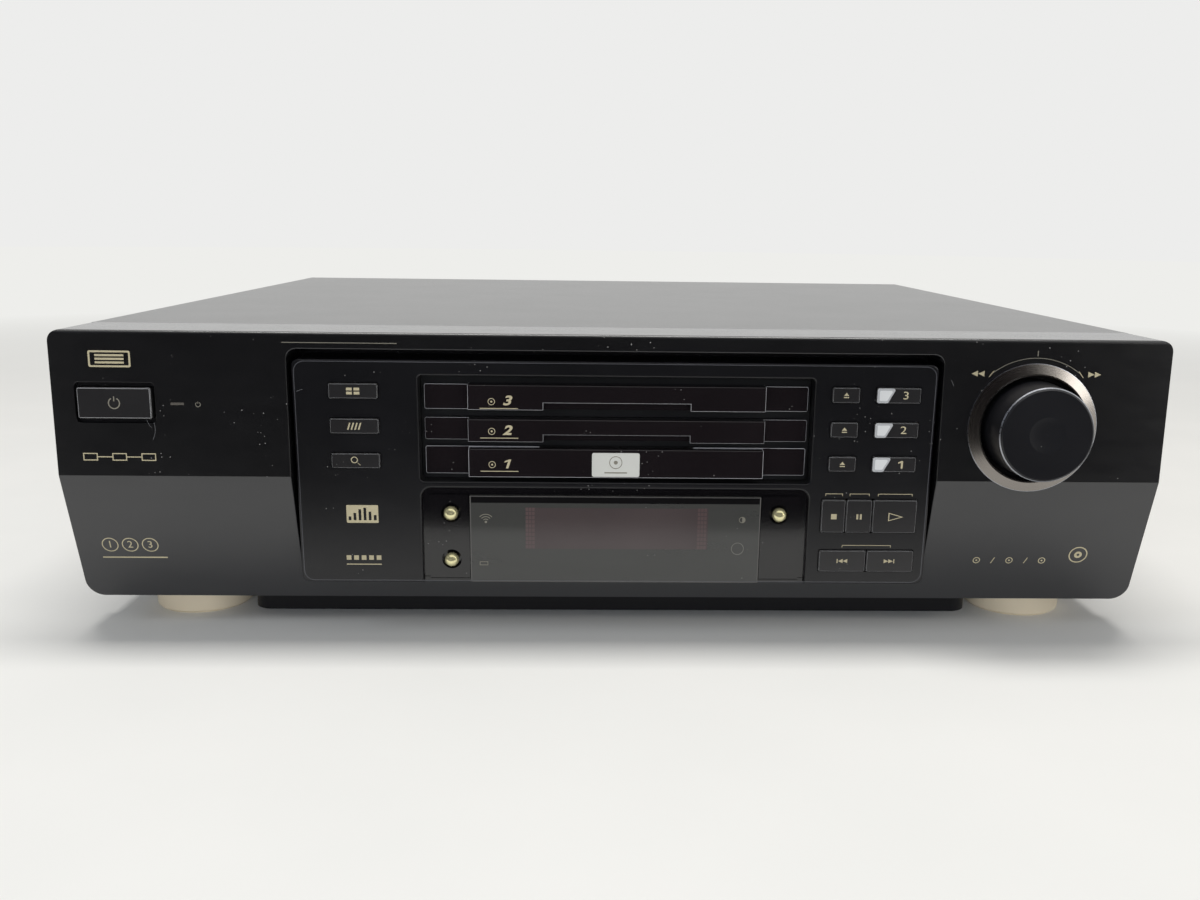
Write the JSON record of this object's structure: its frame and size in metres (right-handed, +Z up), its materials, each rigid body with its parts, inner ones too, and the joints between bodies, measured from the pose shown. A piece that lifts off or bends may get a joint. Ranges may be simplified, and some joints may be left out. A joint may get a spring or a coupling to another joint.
{
  "type": "dvd changer",
  "caption": "Full width disc changer with stacked disc drawers, a raked key panel with display, and a shuttle dial.",
  "frame": {"origin": "under the middle of the whole box, at the height of the feet", "axes": "+Z up, +Y to the rear, so the front with its drawers faces -Y; +X to the right seen from the front"},
  "size_m": [0.435, 0.424, 0.124],
  "materials": {
    "front_moulding": "satin black moulded plastic",
    "centre_moulding": "glossier black moulded plastic",
    "cover_steel": "textured black paint",
    "chassis_steel": "dark plated steel",
    "rear_steel": "black paint",
    "dark_plastic": "dark plastic",
    "key_plastic": "satin grey black keys",
    "tray_plastic": "black moulded drawer",
    "carrier_plastic": "dark grey moulded carrier",
    "gear_plastic": "white acetal",
    "smoke_window": "smoked window",
    "display_glass": "display tube glass",
    "gold": "polished gold coloured metal",
    "ring_metal": "satin turned metal",
    "knob_gloss": "gloss black with a polished edge",
    "foot_plastic": "cream plastic",
    "steel": "bright steel",
    "frame_plastic": "black mechanism moulding",
    "board_green": "circuit board",
    "board_tan": "phenolic circuit board",
    "lamp_red": "red lens",
    "jack_black": "black socket moulding"
  },
  "bodies": {
    "case": {"front_panel": "front_moulding", "centre_panel": "centre_moulding", "tray_bezel": "dark_plastic", "top_cover": "cover_steel", "base_chassis": "chassis_steel", "rear_panel": "rear_steel", "display_cheeks": "centre_moulding", "display_window": "smoke_window", "display_tube": "display_glass", "shuttle_ring": "ring_metal", "standby_lamp": "lamp_red", "mechanism_frame": "frame_plastic", "pinion_spindle": "steel", "lift_rods": "steel", "loading_motor": "steel", "front_board": "board_tan", "main_board": "board_green", "power_supply": "board_tan", "av_jacks": "jack_black", "ac_inlet": "jack_black", "foot_front_left": "foot_plastic", "foot_front_right": "foot_plastic", "foot_rear_left": "foot_plastic", "foot_rear_right": "foot_plastic"},
    "tray_1": {"tray_1": "tray_plastic", "tray_front_1": "centre_moulding"},
    "tray_2": {"tray_2": "tray_plastic", "tray_front_2": "centre_moulding"},
    "tray_3": {"tray_3": "tray_plastic", "tray_front_3": "centre_moulding"},
    "disc_carrier_1": {"disc_carrier_1": "carrier_plastic"},
    "disc_carrier_2": {"disc_carrier_2": "carrier_plastic"},
    "disc_carrier_3": {"disc_carrier_3": "carrier_plastic"},
    "tray_pinion_1": {"tray_pinion_1": "gear_plastic"},
    "tray_pinion_2": {"tray_pinion_2": "gear_plastic"},
    "tray_pinion_3": {"tray_pinion_3": "gear_plastic"},
    "lift_carriage": {"lift_carriage": "frame_plastic", "disc_motor": "steel", "sled_rods": "steel"},
    "turntable": {"turntable": "dark_plastic"},
    "pickup_sled": {"pickup_sled": "dark_plastic"},
    "power_button": {"power_button": "key_plastic"},
    "effect_button_1": {"effect_button_1": "key_plastic"},
    "effect_button_2": {"effect_button_2": "key_plastic"},
    "effect_button_3": {"effect_button_3": "key_plastic"},
    "eject_button_1": {"eject_button_1": "key_plastic"},
    "eject_button_2": {"eject_button_2": "key_plastic"},
    "eject_button_3": {"eject_button_3": "key_plastic"},
    "disc_button_1": {"disc_button_1": "key_plastic"},
    "disc_button_2": {"disc_button_2": "key_plastic"},
    "disc_button_3": {"disc_button_3": "key_plastic"},
    "ball_button_1": {"ball_button_1": "gold"},
    "ball_button_2": {"ball_button_2": "gold"},
    "ball_button_3": {"ball_button_3": "gold"},
    "stop_button": {"stop_button": "key_plastic"},
    "pause_button": {"pause_button": "key_plastic"},
    "play_button": {"play_button": "key_plastic"},
    "skip_back_button": {"skip_back_button": "key_plastic"},
    "skip_forward_button": {"skip_forward_button": "key_plastic"},
    "shuttle_knob": {"shuttle_knob": "knob_gloss"}
  },
  "joints": [
    {"name": "tray_1_slide", "type": "slide", "parent": "case", "child": "tray_1", "axis": [0, -1, 0], "range_m": [0, 0.136]},
    {"name": "tray_2_slide", "type": "slide", "parent": "case", "child": "tray_2", "axis": [0, -1, 0], "range_m": [0, 0.136]},
    {"name": "tray_3_slide", "type": "slide", "parent": "case", "child": "tray_3", "axis": [0, -1, 0], "range_m": [0, 0.136]},
    {"name": "disc_carrier_1_slide", "type": "slide", "parent": "tray_1", "child": "disc_carrier_1", "axis": [0, 1, 0], "range_m": [0, 0.128]},
    {"name": "disc_carrier_2_slide", "type": "slide", "parent": "tray_2", "child": "disc_carrier_2", "axis": [0, 1, 0], "range_m": [0, 0.128]},
    {"name": "disc_carrier_3_slide", "type": "slide", "parent": "tray_3", "child": "disc_carrier_3", "axis": [0, 1, 0], "range_m": [0, 0.128]},
    {"name": "tray_pinion_1_spin", "type": "hinge", "parent": "case", "child": "tray_pinion_1", "pos_m": [0.07545, -0.174, 0.0709], "axis": [0, 0, 1], "range_deg": [0, 975]},
    {"name": "tray_pinion_2_spin", "type": "hinge", "parent": "case", "child": "tray_pinion_2", "pos_m": [0.07545, -0.174, 0.0841], "axis": [0, 0, 1], "range_deg": [0, 975]},
    {"name": "tray_pinion_3_spin", "type": "hinge", "parent": "case", "child": "tray_pinion_3", "pos_m": [0.07545, -0.174, 0.0973], "axis": [0, 0, 1], "range_deg": [0, 975]},
    {"name": "lift_slide", "type": "slide", "parent": "case", "child": "lift_carriage", "axis": [0, 0, 1], "range_m": [0, 0.038]},
    {"name": "turntable_spin", "type": "hinge", "parent": "lift_carriage", "child": "turntable", "pos_m": [0, 0.007, 0.0585], "axis": [0, 0, 1], "continuous": true},
    {"name": "pickup_sled_slide", "type": "slide", "parent": "lift_carriage", "child": "pickup_sled", "axis": [0, 1, 0], "range_m": [0, 0.035]},
    {"name": "power_button_press", "type": "slide", "parent": "case", "child": "power_button", "axis": [0, 1, 0], "range_m": [0, 0.002], "stiffness_N_per_m": 500},
    {"name": "effect_button_1_press", "type": "slide", "parent": "case", "child": "effect_button_1", "axis": [0, 0.9991, 0.0415], "range_m": [0, 0.0008], "stiffness_N_per_m": 600},
    {"name": "effect_button_2_press", "type": "slide", "parent": "case", "child": "effect_button_2", "axis": [0, 0.9991, 0.0415], "range_m": [0, 0.0008], "stiffness_N_per_m": 600},
    {"name": "effect_button_3_press", "type": "slide", "parent": "case", "child": "effect_button_3", "axis": [0, 0.9991, 0.0415], "range_m": [0, 0.0008], "stiffness_N_per_m": 600},
    {"name": "eject_button_1_press", "type": "slide", "parent": "case", "child": "eject_button_1", "axis": [0, 0.9991, 0.0415], "range_m": [0, 0.0008], "stiffness_N_per_m": 600},
    {"name": "eject_button_2_press", "type": "slide", "parent": "case", "child": "eject_button_2", "axis": [0, 0.9991, 0.0415], "range_m": [0, 0.0008], "stiffness_N_per_m": 600},
    {"name": "eject_button_3_press", "type": "slide", "parent": "case", "child": "eject_button_3", "axis": [0, 0.9991, 0.0415], "range_m": [0, 0.0008], "stiffness_N_per_m": 600},
    {"name": "disc_button_1_press", "type": "slide", "parent": "case", "child": "disc_button_1", "axis": [0, 0.9991, 0.0415], "range_m": [0, 0.0008], "stiffness_N_per_m": 600},
    {"name": "disc_button_2_press", "type": "slide", "parent": "case", "child": "disc_button_2", "axis": [0, 0.9991, 0.0415], "range_m": [0, 0.0008], "stiffness_N_per_m": 600},
    {"name": "disc_button_3_press", "type": "slide", "parent": "case", "child": "disc_button_3", "axis": [0, 0.9991, 0.0415], "range_m": [0, 0.0008], "stiffness_N_per_m": 600},
    {"name": "ball_button_1_press", "type": "slide", "parent": "case", "child": "ball_button_1", "axis": [0, 0.9991, 0.0415], "range_m": [0, 0.0008], "stiffness_N_per_m": 600},
    {"name": "ball_button_2_press", "type": "slide", "parent": "case", "child": "ball_button_2", "axis": [0, 0.9991, 0.0415], "range_m": [0, 0.0008], "stiffness_N_per_m": 600},
    {"name": "ball_button_3_press", "type": "slide", "parent": "case", "child": "ball_button_3", "axis": [0, 0.9991, 0.0415], "range_m": [0, 0.0008], "stiffness_N_per_m": 600},
    {"name": "stop_button_press", "type": "slide", "parent": "case", "child": "stop_button", "axis": [0, 0.9991, 0.0415], "range_m": [0, 0.0008], "stiffness_N_per_m": 600},
    {"name": "pause_button_press", "type": "slide", "parent": "case", "child": "pause_button", "axis": [0, 0.9991, 0.0415], "range_m": [0, 0.0008], "stiffness_N_per_m": 600},
    {"name": "play_button_press", "type": "slide", "parent": "case", "child": "play_button", "axis": [0, 0.9991, 0.0415], "range_m": [0, 0.0008], "stiffness_N_per_m": 600},
    {"name": "skip_back_button_press", "type": "slide", "parent": "case", "child": "skip_back_button", "axis": [0, 0.9991, 0.0415], "range_m": [0, 0.0008], "stiffness_N_per_m": 600},
    {"name": "skip_forward_button_press", "type": "slide", "parent": "case", "child": "skip_forward_button", "axis": [0, 0.9991, 0.0415], "range_m": [0, 0.0008], "stiffness_N_per_m": 600},
    {"name": "shuttle_knob_turn", "type": "hinge", "parent": "case", "child": "shuttle_knob", "pos_m": [0.1641, -0.196, 0.089], "axis": [0, -1, 0], "range_deg": [-45, 45], "stiffness_Nm_per_rad": 0.02}
  ],
  "couplings": [
    {"joint": "tray_pinion_1_spin", "follows": "tray_1_slide", "rad_per_m": 125},
    {"joint": "tray_pinion_2_spin", "follows": "tray_2_slide", "rad_per_m": 125},
    {"joint": "tray_pinion_3_spin", "follows": "tray_3_slide", "rad_per_m": 125}
  ]
}
